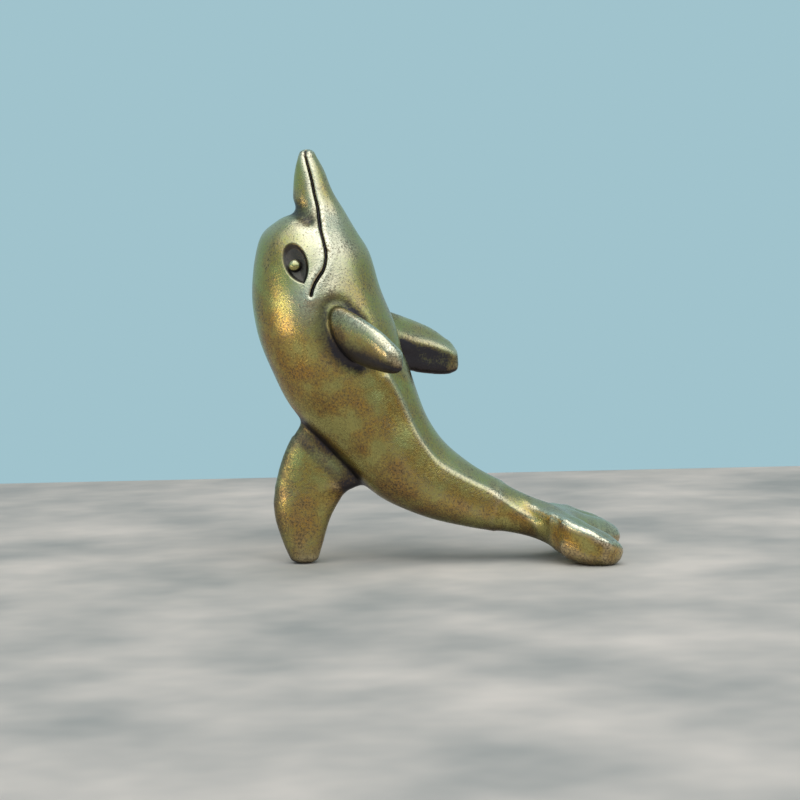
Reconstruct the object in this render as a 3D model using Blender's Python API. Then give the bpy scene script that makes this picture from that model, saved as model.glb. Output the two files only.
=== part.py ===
"""Dolphin figurine, cast in brass in one piece, that stands on its back fin and tail flukes.

The body is a row of oval ribs along a curved spine, skinned into one surface. A back fin, two
flippers and two tail lobes grow out of it, and all of them are joined into one solid. The eyes
are beads in almond sockets, and one groove round the beak is the mouth. What would reach below
the floor is cut off level, which leaves the small flats that the figurine stands on.

Seen from the side, +X runs from the animal's back to its belly and on to its tail, and +Z is up.
Its right side faces -Y. The origin is on the floor, under the middle of the figurine.
"""

import math

import bmesh
import bpy
from mathutils import Matrix, Vector

MM = 0.001  # the sizes below are in millimetres, and Blender's are in metres

HEIGHT = 40.3  # from the floor to the beak's tip
CHEST_DEPTH = 13.3  # from back to belly, where the body is thickest
CHEST_WIDTH = 11.8
BACK_FIN = (13.8, 8.3, 3.1)  # a blade's reach, and its largest chord and thickness
RIGHT_FLIPPER = (6.9, 5.8, 2.9)
LEFT_FLIPPER = (7.0, 6.7, 2.9)
TAIL_LOBE = (9.6, 5.7, 3.9)

# Body ribs from the beak to the tail. Each is an oval across the body: its centre in the side
# view, how many degrees its belly end is tipped up, its depth from back to belly, its full width.
# Centres are in hundredths of the height, depths and widths in hundredths of the chest's.
BODY_RIBS = (
    # x, z, lean, depth, width
    (-30.5, 98.5, 0, 12.6, 13.6),  # beak tip
    (-30.0, 94.8, 1, 22.1, 22.4),
    (-29.3, 89.3, 2, 30.1, 30.5),
    (-28.4, 85.6, 0, 38.0, 37.3),  # crease behind the beak
    (-29.3, 82.9, -2, 54.1, 52.5),
    (-30.3, 79.9, -2, 70.7, 68.6),  # melon
    (-29.9, 75.1, -2, 84.2, 83.1),  # eyes
    (-29.3, 67.2, -2, 94.0, 94.1),
    (-27.7, 58.3, 6, 100.0, 100.0),  # chest
    (-25.1, 50.7, 15, 96.4, 99.2),
    (-22.5, 44.4, 25, 91.8, 94.9),
    (-19.1, 39.4, 36, 86.0, 88.1),
    (-15.0, 33.0, 44, 76.7, 80.5),
    (-10.4, 26.1, 50, 67.7, 72.9),  # waist
    (-4.8, 20.8, 55, 57.9, 63.6),
    (1.7, 17.1, 60, 49.6, 55.9),
    (8.8, 14.1, 64, 41.4, 47.5),
    (16.1, 11.7, 66, 34.6, 40.7),
    (22.6, 9.6, 67, 30.8, 41.5),  # tail stock
    (26.8, 7.9, 69, 28.6, 53.4),
    (30.0, 6.9, 70, 21.1, 45.8),
)
CHEST = 9.0  # places along the body count its ribs, the first being 0
WAIST = 13.0
LOBE_START = 18.0
HEAD_TURN = 12.0  # degrees that the head and chest are turned towards the right side
BODY_DOME = 0.6  # how far the body's round ends stand proud of its first and last rib

# Stations of a blade, from inside what carries it to its tip: how far it reaches out, how far its
# middle is swept back and raised, its chord and its thickness. Each is in hundredths: the reach of
# the blade's reach, sweep and chord of its chord, raise and thickness of its thickness.
BACK_FIN_STATIONS = (
    # reach, sweep, raise, chord, thickness
    (0, -2, 0, 45, 71),
    (14, -3, 0, 74, 84),
    (29, 2, 0, 105, 94),
    (42, -2, 0, 109, 100),
    (46, -8, 0, 100, 100),
    (50, -16, 0, 85, 100),
    (57, -21, 0, 78, 100),
    (70, -26, 0, 64, 97),
    (86, -26, 0, 47, 90),
    (96, -25, 0, 35, 84),
)
BACK_FIN_ROOT = (-29.0, 34.2)  # it hangs straight down from here, in hundredths of the height
FLIPPER_STATIONS = (
    (-38, 0, 0, 89, 90),
    (0, 12, 0, 100, 100),
    (32, 28, 0, 95, 97),
    (64, 43, 0, 84, 86),
    (86, 54, 0, 71, 76),
    (100, 62, 0, 52, 62),
)
RIGHT_FLIPPER_ROOT = (8.20, 31.0)  # place along the body, and degrees round it from side to belly
LEFT_FLIPPER_ROOT = (8.50, 31.0)
FLIPPER_SPREAD = 46.0  # degrees that a flipper points to the belly from straight out
FLIPPER_TILT = 15.0  # degrees that its chord is tipped from the line of the body
LOBE_STATIONS = (
    (-17, 0, 0, 60, 48),
    (4, 0, 0, 84, 80),
    (24, 0, 0, 95, 94),
    (44, 0, 0, 100, 100),
    (66, 0, -3, 98, 97),
    (86, 2, 1, 82, 91),
    (100, 5, 8, 58, 67),
)
LOBE_SPLAY = 41.0  # degrees between a tail lobe and the line of the tail
TIP_DOME = 0.6  # how far a blade's round tip stands proud of its last station

EYE_PLACE = (6.3, -2.5)  # place along the body, and degrees round it from side to belly
EYE_SOCKET = (4.5, 2.6, 1.0)  # length, height and depth of the oval that cuts the socket
EYE_TIP = 21.0  # degrees that the socket's tail end is tipped towards the belly
EYE_BEAD = 1.2  # diameter

# The mouth, as places along the body and degrees round it, from the beak's tip to its corner.
# A place before the first rib is on the dome of the beak's tip.
MOUTH_LINE = (
    (-0.8, 11),
    (0.7, 14),
    (1.5, 20),
    (2.6, 21),
    (3.4, 21),
    (4.6, 26),
    (5.7, 30),
    (6.3, 28),
    (6.6, 25),
    (6.85, 19),
    (7.1, 13.5),
    (7.4, 9.5),
)
MOUTH_GROOVE = 0.55  # width of the round-bottomed groove

BODY_SEGMENTS = 28
BODY_OFFSET = 0.5  # how far ring points are turned, in steps from one point to the next
LOBE_OFFSET = 0.25
BLADE_SEGMENTS = 18
RINGS_PER_RIB = 3
RINGS_PER_STATION = 2
DOME_RINGS = 3
RIGHT, LEFT = 1, -1


def smooth(rows, place):
    """The values at a place between the rows, on a curve that runs through every row."""
    last = len(rows) - 1
    index = max(0, min(int(place), last - 1))
    t = place - index
    before, start, end, after = (rows[max(0, min(last, index + k))] for k in (-1, 0, 1, 2))
    values = []
    for a, b, c, d in zip(before, start, end, after):
        slope_in = (c - a) / 2
        slope_out = (d - b) / 2
        values.append(
            b * (2 * t**3 - 3 * t**2 + 1)
            + c * (3 * t**2 - 2 * t**3)
            + slope_in * (t**3 - 2 * t**2 + t)
            + slope_out * (t**3 - t**2)
        )
    return values


def places(rows, per_row):
    """Evenly spread places from the first row to the last."""
    count = (len(rows) - 1) * per_row
    return [i / per_row for i in range(count + 1)]


def oval(centre, half_width, half_depth, out):
    """The matrix that lays a unit circle down as an oval rib, with its way out as third axis."""
    columns = (half_width, half_depth, out, centre)
    matrix = Matrix.Identity(4)
    for index, column in enumerate(columns):
        matrix.col[index].xyz = column
    return matrix


def head_turn(place):
    """How far the body is turned to its right here, in radians: fully from the chest up."""
    t = max(0.0, min(1.0, (WAIST - place) / (WAIST - CHEST)))
    return math.radians(HEAD_TURN) * t * t * (3 - 2 * t)


def body_axes(place):
    """The directions of the right side, the belly and the tail at a place along the body."""
    lean = math.radians(smooth(BODY_RIBS, place)[2])
    side = Vector((0, -1, 0))
    belly = Vector((math.cos(lean), 0, math.sin(lean)))
    tail = Vector((math.sin(lean), 0, -math.cos(lean)))
    turn = Matrix.Rotation(-head_turn(place), 3, "Z")
    return turn @ side, turn @ belly, turn @ tail


def body_rib(place):
    """The oval of the body at a place along it."""
    x, z, _, depth, width = smooth(BODY_RIBS, place)
    side, belly, tail = body_axes(place)
    centre = Vector((x, 0, z)) / 100 * HEIGHT * MM
    half_depth = depth / 100 * CHEST_DEPTH / 2 * MM
    half_width = width / 100 * CHEST_WIDTH / 2 * MM
    return oval(centre, side * half_width, belly * half_depth, tail * BODY_DOME * MM)


def skin_point(place, degrees, side):
    """The point of the body's surface at a place along it, this far round from side to belly."""
    rib = body_rib(max(place, 0))
    dome = math.radians(90 * max(-place, 0))
    around = math.radians(degrees)
    flat = Vector((side * math.cos(around), math.sin(around), 0)) * math.cos(dome)
    return rib @ (flat + Vector((0, 0, -math.sin(dome))))


def skin_axes(place, degrees, side):
    """Tailward, belly-ward and outward directions on the body's surface at that point."""
    step, turn = 0.05, 2.0  # short ways along the body and round it
    tail = skin_point(place + step, degrees, side) - skin_point(place - step, degrees, side)
    belly = skin_point(place, degrees + turn, side) - skin_point(place, degrees - turn, side)
    tail.normalize()
    out = side * tail.cross(belly).normalized()
    return tail, out.cross(tail) * side, out


def domed(ovals):
    """The ovals with shrinking ones added at both ends, which round them off."""
    steps_to_top = DOME_RINGS + 0.4  # the last ring is small, and a flat cap closes it

    def dome(end, way):
        rings = []
        for index in range(1, DOME_RINGS + 1):
            angle = math.radians(90) * index / steps_to_top
            shift = Matrix.Translation((0, 0, way * math.sin(angle)))
            shrink = Matrix.Diagonal((math.cos(angle), math.cos(angle), 1, 1))
            rings.append(end @ shift @ shrink)
        return rings

    return dome(ovals[0], -1)[::-1] + ovals + dome(ovals[-1], 1)


def skinned(name, ovals, segments, offset):
    """An object whose surface runs through the ovals, closed at both ends.

    The offset turns the points of the rings, by that many steps from one point to the next. It
    keeps the points of two crossing surfaces apart where they would meet in the middle plane.
    """
    start = ovals[0] @ Matrix.Rotation(math.tau * offset / segments, 4, "Z")
    mesh = bmesh.new()
    bmesh.ops.create_circle(mesh, cap_ends=True, segments=segments, radius=1, matrix=start)
    ring = mesh.edges[:]
    for previous, following in zip(ovals, ovals[1:]):
        extruded = bmesh.ops.extrude_edge_only(mesh, edges=ring)["geom"]
        ring = [item for item in extruded if isinstance(item, bmesh.types.BMEdge)]
        points = [item for item in extruded if isinstance(item, bmesh.types.BMVert)]
        ring = [edge for edge in ring if all(end in points for end in edge.verts)]
        bmesh.ops.transform(mesh, matrix=following @ previous.inverted(), verts=points)
    bmesh.ops.contextual_create(mesh, geom=ring)
    bmesh.ops.recalc_face_normals(mesh, faces=mesh.faces[:])
    return as_object(name, mesh)


def as_object(name, mesh):
    """A scene object that holds the finished bmesh."""
    data = bpy.data.meshes.new(name)
    mesh.to_mesh(data)
    mesh.free()
    made = bpy.data.objects.new(name, data)
    bpy.context.scene.collection.objects.link(made)
    return made


def blade(name, frame, size, stations, offset=0):
    """A fin: ovals along the third axis of its frame, with their chords along the first."""
    whole_reach, whole_chord, whole_thickness = (value * MM for value in size)
    ovals = []
    for place in places(stations, RINGS_PER_STATION):
        reach, sweep, rise, chord, thickness = (share / 100 for share in smooth(stations, place))
        middle = (sweep * whole_chord, rise * whole_thickness, reach * whole_reach)
        half = (chord * whole_chord / 2, thickness * whole_thickness / 2, TIP_DOME * MM, 1)
        ovals.append(frame @ Matrix.Translation(middle) @ Matrix.Diagonal(half))
    return skinned(name, domed(ovals), BLADE_SEGMENTS, offset)


def frame_of(origin, chord, thickness, reach):
    """A blade's frame from its origin in metres and its three directions."""
    return oval(origin, chord.normalized(), thickness.normalized(), reach.normalized())


def body():
    """The body from beak to tail stock."""
    ovals = [body_rib(place) for place in places(BODY_RIBS, RINGS_PER_RIB)]
    return skinned("dolphin", domed(ovals), BODY_SEGMENTS, BODY_OFFSET)


def back_fin():
    """The fin on the back, which is also the front foot."""
    x, z = BACK_FIN_ROOT
    origin = Vector((x, 0, z)) / 100 * HEIGHT * MM
    frame = frame_of(origin, Vector((1, 0, 0)), Vector((0, 1, 0)), Vector((0, 0, -1)))
    return blade("back_fin", frame, BACK_FIN, BACK_FIN_STATIONS)


def flipper(side):
    """A flipper on one side of the chest, its chord along the body."""
    size = RIGHT_FLIPPER if side == RIGHT else LEFT_FLIPPER
    place, degrees = RIGHT_FLIPPER_ROOT if side == RIGHT else LEFT_FLIPPER_ROOT
    outward, belly, tail = body_axes(place)
    spread = math.radians(FLIPPER_SPREAD)
    reach = side * outward * math.cos(spread) + belly * math.sin(spread)
    tilt = Matrix.Rotation(side * math.radians(FLIPPER_TILT), 3, reach)
    chord = tilt @ tail
    frame = frame_of(skin_point(place, degrees, side), chord, reach.cross(chord), reach)
    return blade("flipper", frame, size, FLIPPER_STATIONS)


def tail_lobe(side):
    """One of the two lobes of the tail, splayed from the end of the tail stock."""
    outward, belly, tail = body_axes(LOBE_START)
    splay = math.radians(LOBE_SPLAY)
    reach = tail * math.cos(splay) + side * outward * math.sin(splay)
    chord = side * belly.cross(reach)
    frame = frame_of(body_rib(LOBE_START).translation, chord, belly, reach)
    return blade("tail_lobe", frame, TAIL_LOBE, LOBE_STATIONS, LOBE_OFFSET * side)


def eye(side):
    """The oval that cuts an eye's socket, and the bead that fills its middle."""
    centre = skin_point(*EYE_PLACE, side)
    tail, belly, out = skin_axes(*EYE_PLACE, side)
    tip = Matrix.Rotation(math.radians(EYE_TIP) * side, 3, out)
    length, height, depth = (size / 2 * MM for size in EYE_SOCKET)
    lay = oval(centre, tip @ tail * length, tip @ belly * height, out * depth)
    socket = bmesh.new()
    bmesh.ops.create_uvsphere(socket, u_segments=20, v_segments=10, radius=1, matrix=lay)
    bmesh.ops.recalc_face_normals(socket, faces=socket.faces[:])
    bead = bmesh.new()
    seat = Matrix.Translation(centre - out * EYE_SOCKET[2] / 4 * MM)
    bmesh.ops.create_icosphere(bead, subdivisions=2, radius=EYE_BEAD / 2 * MM, matrix=seat)
    return as_object("eye_socket", socket), as_object("eye_bead", bead)


def mouth():
    """The tube that cuts the mouth, from one corner round the beak's tip to the other."""
    per_row = 5
    route = [smooth(MOUTH_LINE, place) for place in places(MOUTH_LINE, per_row)]
    points = [skin_point(place, degrees, RIGHT) for place, degrees in reversed(route)]
    points += [skin_point(place, degrees, LEFT) for place, degrees in route]
    line = bpy.data.curves.new("mouth", "CURVE")
    line.dimensions = "3D"
    line.bevel_depth = MOUTH_GROOVE / 2 * MM
    line.bevel_resolution = 2
    line.use_fill_caps = True
    spline = line.splines.new("POLY")
    spline.points.add(len(points) - 1)
    for knot, point in zip(spline.points, points):
        knot.co = (*point, 1)
    curve = bpy.data.objects.new("mouth", line)
    bpy.context.scene.collection.objects.link(curve)
    bpy.context.view_layer.update()
    tube = bpy.data.meshes.new_from_object(curve.evaluated_get(bpy.context.evaluated_depsgraph_get()))
    bpy.data.objects.remove(curve)
    mesh = bmesh.new()
    mesh.from_mesh(tube)
    bmesh.ops.remove_doubles(mesh, verts=mesh.verts[:], dist=MM / 1000)
    bmesh.ops.recalc_face_normals(mesh, faces=mesh.faces[:])
    return as_object("mouth_groove", mesh)


def below_floor():
    """A block that holds everything under the floor."""
    size = 3 * HEIGHT * MM  # well past the figurine on every side
    mesh = bmesh.new()
    bmesh.ops.create_cube(mesh, size=size, matrix=Matrix.Translation((0, 0, -size / 2)))
    return as_object("below_floor", mesh)


def combine(target, tool, operation):
    """Joins the tool to the target, or cuts it away, and removes the tool."""
    step = target.modifiers.new(tool.name, "BOOLEAN")
    step.operation = operation
    step.solver = "EXACT"
    step.object = tool
    graph = bpy.context.evaluated_depsgraph_get()
    result = bpy.data.meshes.new_from_object(target.evaluated_get(graph))
    target.modifiers.remove(step)
    target.data = result
    bpy.data.objects.remove(tool)


def centre_on_floor(target):
    """Moves the mesh sideways until the origin is under its middle."""
    points = [vertex.co for vertex in target.data.vertices]
    middle_x = (min(p.x for p in points) + max(p.x for p in points)) / 2
    middle_y = (min(p.y for p in points) + max(p.y for p in points)) / 2
    target.data.transform(Matrix.Translation((-middle_x, -middle_y, 0)))


def brass():
    """Old brass with a dull polish."""
    metal = bpy.data.materials.new("antique_brass")
    metal.use_nodes = True
    shader = metal.node_tree.nodes["Principled BSDF"]
    shader.inputs["Base Color"].default_value = (0.47, 0.37, 0.16, 1)
    shader.inputs["Metallic"].default_value = 1.0
    shader.inputs["Roughness"].default_value = 0.35
    return metal


def main():
    for old in list(bpy.data.objects):
        bpy.data.objects.remove(old)
    dolphin = body()
    grown = [back_fin()]
    for side in (RIGHT, LEFT):
        grown += [flipper(side), tail_lobe(side)]
    for limb in grown:
        combine(dolphin, limb, "UNION")
    combine(dolphin, mouth(), "DIFFERENCE")
    for side in (RIGHT, LEFT):
        socket, bead = eye(side)
        combine(dolphin, socket, "DIFFERENCE")
        combine(dolphin, bead, "UNION")
    combine(dolphin, below_floor(), "DIFFERENCE")
    centre_on_floor(dolphin)
    dolphin.data.materials.clear()
    dolphin.data.materials.append(brass())
    dolphin.data.shade_smooth()
    dolphin.data.set_sharp_from_angle(angle=math.radians(35))


main()
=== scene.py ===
# %% [markdown]
# # A leaping dolphin, cast in brass
#
# The real thing is a solid little casting, about as tall as a thumb joint is long. Its beak points
# up, and it stands on the tip of its back fin and on its tail. This lesson gives it its looks:
# a smooth skin with soft corners, a cut mouth, sunken eyes, and brass that has gone dark in the
# hollows and is rubbed bright on the high places. Painted shade adds to the dark of the hollows
# and darkens the undersides, and a painted highlight adds to the bright of the face and the tops.
#
# The imported CAD part comes first, as the fixed frame that everything is measured against. It is
# one solid named dolphin. Its box is kept, because the finished skin has to stay inside it.

# %% The tools and the imported part
import math

import bmesh
import bpy
from mathutils import Matrix, Vector, noise
from mathutils.bvhtree import BVHTree
from mathutils.kdtree import KDTree


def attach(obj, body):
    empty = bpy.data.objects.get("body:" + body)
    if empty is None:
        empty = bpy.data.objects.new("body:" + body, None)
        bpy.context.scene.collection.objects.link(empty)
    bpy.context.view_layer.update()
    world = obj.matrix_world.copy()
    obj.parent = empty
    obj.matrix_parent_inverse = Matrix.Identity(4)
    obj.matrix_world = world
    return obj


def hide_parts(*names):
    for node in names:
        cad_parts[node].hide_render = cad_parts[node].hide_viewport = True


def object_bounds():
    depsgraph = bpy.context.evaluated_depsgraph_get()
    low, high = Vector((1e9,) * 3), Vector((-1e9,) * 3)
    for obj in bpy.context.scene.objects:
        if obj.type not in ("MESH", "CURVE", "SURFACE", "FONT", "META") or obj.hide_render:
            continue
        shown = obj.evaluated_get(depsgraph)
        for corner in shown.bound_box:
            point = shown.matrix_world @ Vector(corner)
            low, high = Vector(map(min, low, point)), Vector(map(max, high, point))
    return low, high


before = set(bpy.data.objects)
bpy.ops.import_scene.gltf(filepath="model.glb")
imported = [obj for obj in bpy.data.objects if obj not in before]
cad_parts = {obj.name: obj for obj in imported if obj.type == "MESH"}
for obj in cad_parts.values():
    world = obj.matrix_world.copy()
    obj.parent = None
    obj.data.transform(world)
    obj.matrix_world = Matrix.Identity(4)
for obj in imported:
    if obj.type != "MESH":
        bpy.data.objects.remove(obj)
CAD_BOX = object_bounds()
MM = 0.001  # sizes in this file are in millimetres, and Blender's are in metres
print("CAD box in mm:", [[round(value / MM, 2) for value in corner] for corner in CAD_BOX])

# %% [markdown]
# ## The camera
#
# The camera looks at the animal's right side from just above the table, from about a hand's
# length away. A long lens keeps the small casting from looking stretched. The picture is rolled
# a little, as a hand-held camera would be, and shifted so that the dolphin sits a little right of
# the middle and above it.

# %% The camera
AZIMUTH, ELEVATION = 3.0, 3.5  # degrees round the dolphin and above the table
DISTANCE = 0.230  # metres
ROLL = 1.6  # degrees
PICTURE = 800  # width and height of the picture in pixels
SPOT = (434.0, 356.5)  # the pixel on which the camera's target lands
PIXELS_PER_METRE = 10400.0  # at the target
TARGET = Vector((0, 0, 0.020))


def direction(azimuth, elevation):
    """The way to a place this far round the dolphin and above it. 0 is in front, 90 is right."""
    round_it, above = math.radians(azimuth), math.radians(elevation)
    return Vector((
        math.sin(round_it) * math.cos(above),
        -math.cos(round_it) * math.cos(above),
        math.sin(above),
    ))


back, right = direction(AZIMUTH, ELEVATION), direction(AZIMUTH + 90, 0)
roll = Matrix.Rotation(-math.radians(ROLL), 3, "Z")
turn = Matrix((right, back.cross(right), back)).transposed() @ roll

lens = bpy.data.cameras.new("camera")
lens.sensor_width = 36
lens.lens = DISTANCE * PIXELS_PER_METRE * lens.sensor_width / PICTURE
lens.shift_x = -(SPOT[0] - PICTURE / 2) / PICTURE
lens.shift_y = (SPOT[1] - PICTURE / 2) / PICTURE
lens.clip_start = 0.01
camera = bpy.data.objects.new("camera", lens)
camera.matrix_world = Matrix.Translation(TARGET + back * DISTANCE) @ turn.to_4x4()
bpy.context.scene.collection.objects.link(camera)
bpy.context.scene.camera = camera
print("lens:", round(lens.lens, 1), "mm")

# %% [markdown]
# ## The body
#
# A sculptor would rough out the body as one tapering sausage. Here it is a row of ovals across a
# curved spine, which are skinned into one surface. The same ovals made the CAD solid, so the two
# fit, but here they are set far closer together: the skin is smooth enough to mirror a lamp.
# Metaballs or a subdivided cage would also give a sausage, but neither would follow the CAD solid
# this closely.
#
# Each rib gives its centre in the side view, how many degrees its belly end is tipped up, its
# depth from back to belly and its full width. Centres are in hundredths of the height, depths and
# widths in hundredths of the chest's. A smooth curve runs through the rows.

# %% The body's ribs
HEIGHT = 40.3  # from the floor to the beak's tip
CHEST_DEPTH = 13.3  # from back to belly, where the body is thickest
CHEST_WIDTH = 11.8
BODY_RIBS = (
    # x, z, lean, depth, width
    (-30.5, 98.5, 0, 12.6, 13.6),  # beak tip
    (-30.0, 94.8, 1, 22.1, 22.4),
    (-29.3, 89.3, 2, 30.1, 30.5),
    (-28.4, 85.6, 0, 38.0, 37.3),  # crease behind the beak
    (-29.3, 82.9, -2, 54.1, 52.5),
    (-30.3, 79.9, -2, 70.7, 68.6),  # melon
    (-29.9, 75.1, -2, 84.2, 83.1),  # eyes
    (-29.3, 67.2, -2, 94.0, 94.1),
    (-27.7, 58.3, 6, 100.0, 100.0),  # chest
    (-25.1, 50.7, 15, 96.4, 99.2),
    (-22.5, 44.4, 25, 91.8, 94.9),
    (-19.1, 39.4, 36, 86.0, 88.1),
    (-15.0, 33.0, 44, 76.7, 80.5),
    (-10.4, 26.1, 50, 67.7, 72.9),  # waist
    (-4.8, 20.8, 55, 57.9, 63.6),
    (1.7, 17.1, 60, 49.6, 55.9),
    (8.8, 14.1, 64, 41.4, 47.5),
    (16.1, 11.7, 66, 34.6, 40.7),
    (22.6, 9.6, 67, 30.8, 41.5),  # tail stock
    (26.8, 7.9, 69, 28.6, 53.4),
    (30.0, 6.9, 70, 21.1, 45.8),
)
CHEST, WAIST, LOBE_START = 9.0, 13.0, 18.0  # places along the body count its ribs from 0
HEAD_TURN = 12.0  # degrees that the head and chest are turned towards the right side
BODY_DOME = 0.6  # how far the body's round ends stand proud of its first and last rib
RIGHT, LEFT = 1, -1


def hump(distance, half):
    """1 on a line, falling to nothing over a few half-widths away from it."""
    return math.exp(-((distance / half) ** 2))


def ramp(value):
    """0 to 1 with soft ends."""
    value = max(0.0, min(1.0, value))
    return value * value * (3 - 2 * value)


def smooth(rows, place):
    """The values at a place between the rows, on a curve that runs through every row."""
    last = len(rows) - 1
    index = max(0, min(int(place), last - 1))
    t = place - index
    before, start, end, after = (rows[max(0, min(last, index + k))] for k in (-1, 0, 1, 2))
    values = []
    for a, b, c, d in zip(before, start, end, after):
        slope_in, slope_out = (c - a) / 2, (d - b) / 2
        values.append(
            b * (2 * t**3 - 3 * t**2 + 1)
            + c * (3 * t**2 - 2 * t**3)
            + slope_in * (t**3 - 2 * t**2 + t)
            + slope_out * (t**3 - t**2)
        )
    return values


def oval(centre, half_width, half_depth, out):
    """The matrix that lays a unit circle down as an oval, with its way out as third axis."""
    matrix = Matrix.Identity(4)
    for index, column in enumerate((half_width, half_depth, out, centre)):
        matrix.col[index].xyz = column
    return matrix


def body_axes(place):
    """The directions of the right side, the belly and the tail at a place along the body."""
    lean = math.radians(smooth(BODY_RIBS, place)[2])
    share = ramp((WAIST - place) / (WAIST - CHEST))
    twist = Matrix.Rotation(-math.radians(HEAD_TURN) * share, 3, "Z")
    belly = Vector((math.cos(lean), 0, math.sin(lean)))
    tail = Vector((math.sin(lean), 0, -math.cos(lean)))
    return twist @ Vector((0, -1, 0)), twist @ belly, twist @ tail


def body_rib(place):
    """The oval of the body at a place along it."""
    x, z, _, depth, width = smooth(BODY_RIBS, place)
    side, belly, tail = body_axes(place)
    centre = Vector((x, 0, z)) / 100 * HEIGHT * MM
    half_depth = depth / 100 * CHEST_DEPTH / 2 * MM
    half_width = width / 100 * CHEST_WIDTH / 2 * MM
    return oval(centre, side * half_width, belly * half_depth, tail * BODY_DOME * MM)


print(len(BODY_RIBS), "ribs, the widest", CHEST_WIDTH, "mm across")

# %% [markdown]
# A skin is drawn by starting from one circle and extruding its edge from oval to oval. The ends
# are rounded off with a few shrinking rings and a small flat cap, which the remeshing later
# rounds away. Every skin is a closed shell that faces outwards.

# %% From ovals to a skin
DOME_RINGS = 6
STEPS = 8  # ovals from one row of a table to the next
BODY_POINTS, BLADE_POINTS = 84, 72  # points round an oval


def domed(ovals):
    """The ovals with shrinking ones added at both ends, which round them off."""
    steps_to_top = DOME_RINGS + 0.4  # the last ring is small, and a flat cap closes it

    def dome(end, way):
        rings = []
        for index in range(1, DOME_RINGS + 1):
            angle = math.radians(90) * index / steps_to_top
            shift = Matrix.Translation((0, 0, way * math.sin(angle)))
            shrink = Matrix.Diagonal((math.cos(angle), math.cos(angle), 1, 1))
            rings.append(end @ shift @ shrink)
        return rings

    return dome(ovals[0], -1)[::-1] + ovals + dome(ovals[-1], 1)


def skinned(ovals, segments, swell=None):
    """A closed bmesh whose surface runs through the ovals.

    swell, if it is given, says how far the oval bulges at an angle, as a share of its size.
    """
    mesh = bmesh.new()
    bmesh.ops.create_circle(mesh, cap_ends=True, segments=segments, radius=1)
    if swell:
        for vert in mesh.verts:
            vert.co *= 1 + swell(math.degrees(math.atan2(vert.co.y, vert.co.x)))
    bmesh.ops.transform(mesh, matrix=ovals[0], verts=mesh.verts[:])
    ring = mesh.edges[:]
    for previous, following in zip(ovals, ovals[1:]):
        extruded = bmesh.ops.extrude_edge_only(mesh, edges=ring)["geom"]
        points = {item for item in extruded if isinstance(item, bmesh.types.BMVert)}
        edges = [item for item in extruded if isinstance(item, bmesh.types.BMEdge)]
        ring = [edge for edge in edges if points.issuperset(edge.verts)]
        bmesh.ops.transform(mesh, matrix=following @ previous.inverted(), verts=list(points))
    bmesh.ops.contextual_create(mesh, geom=ring)
    bmesh.ops.recalc_face_normals(mesh, faces=mesh.faces[:])
    return mesh


def evenly(rows, per_row):
    """Evenly spread places from the first row of a table to the last."""
    return [index / per_row for index in range((len(rows) - 1) * per_row + 1)]


ribs = [body_rib(place) for place in evenly(BODY_RIBS, STEPS)]
shells = {"body": skinned(domed(ribs), BODY_POINTS)}
print("body skin:", len(shells["body"].faces), "faces")

# %% [markdown]
# ## The fins
#
# Back fin, flippers and tail lobes are blades: a flat oval that grows, leans and shrinks on its
# way out. One helper lofts them all from a short table. Each table row gives how far out the oval
# is, how far its middle is swept back and raised, its chord and its thickness, in hundredths of
# the blade's own size.
#
# The flippers were pared to a soft keel along their inner face, with a shallow dip on both sides
# of it. The tail lobes have a corner along the upper part of their outer side, and a long dip
# below it. So an oval may swell or sink at places round it. The keels are too fine for the CAD
# solid, which keeps plain ovals.

# %% The blades
BACK_FIN = (13.8, 8.3, 3.1)  # reach, largest chord, largest thickness
FLIPPERS = {RIGHT: (6.9, 5.8, 2.9), LEFT: (7.0, 6.7, 2.9)}  # a hand made no two the same
TAIL_LOBE = (9.6, 5.7, 3.9)
TIP_DOME = 0.6  # how far a blade's round tip stands proud of its last station
BACK_FIN_STATIONS = (
    # reach, sweep, raise, chord, thickness
    (0, -2, 0, 45, 71),
    (14, -3, 0, 74, 84),
    (29, 2, 0, 105, 94),
    (42, -2, 0, 109, 100),
    (46, -8, 0, 100, 100),
    (50, -16, 0, 85, 100),
    (57, -21, 0, 78, 100),
    (70, -26, 0, 64, 97),
    (86, -26, 0, 47, 90),
    (96, -25, 0, 35, 84),
)
FLIPPER_STATIONS = (
    (-38, 0, 0, 89, 90),
    (0, 12, 0, 100, 100),
    (32, 28, 0, 95, 97),
    (64, 43, 0, 84, 86),
    (86, 54, 0, 71, 76),
    (100, 62, 0, 52, 62),
)
LOBE_STATIONS = (
    (-17, 0, 0, 60, 48),
    (4, 0, 0, 84, 80),
    (24, 0, 0, 95, 94),
    (44, 0, 0, 100, 100),
    (66, 0, -3, 98, 97),
    (86, 2, 1, 82, 91),
    (100, 5, 8, 58, 67),
)

# %% Their keels
INNER_KEEL, KEEL_DIP = 0.16, -0.09
LOBE_KEELS = ((140, 0.28, 14), (190, -0.15, 30))
KEELS = {
    # degrees round the oval, rise as a share of the oval's size, and half-width in degrees
    "right_flipper": ((90, INNER_KEEL, 13), (50, KEEL_DIP, 20), (130, KEEL_DIP, 20)),
    "left_flipper": ((270, INNER_KEEL, 13), (230, KEEL_DIP, 20), (310, KEEL_DIP, 20)),
    "right_lobe": LOBE_KEELS,
    "left_lobe": LOBE_KEELS,
}


def keeled(keels):
    """How far an oval with these keels bulges at an angle round it."""

    def swell(angle):
        offs = [abs((angle - middle + 180) % 360 - 180) for middle, _, _ in keels]
        return sum(rise * hump(off, half) for off, (_, rise, half) in zip(offs, keels))

    return swell


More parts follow.
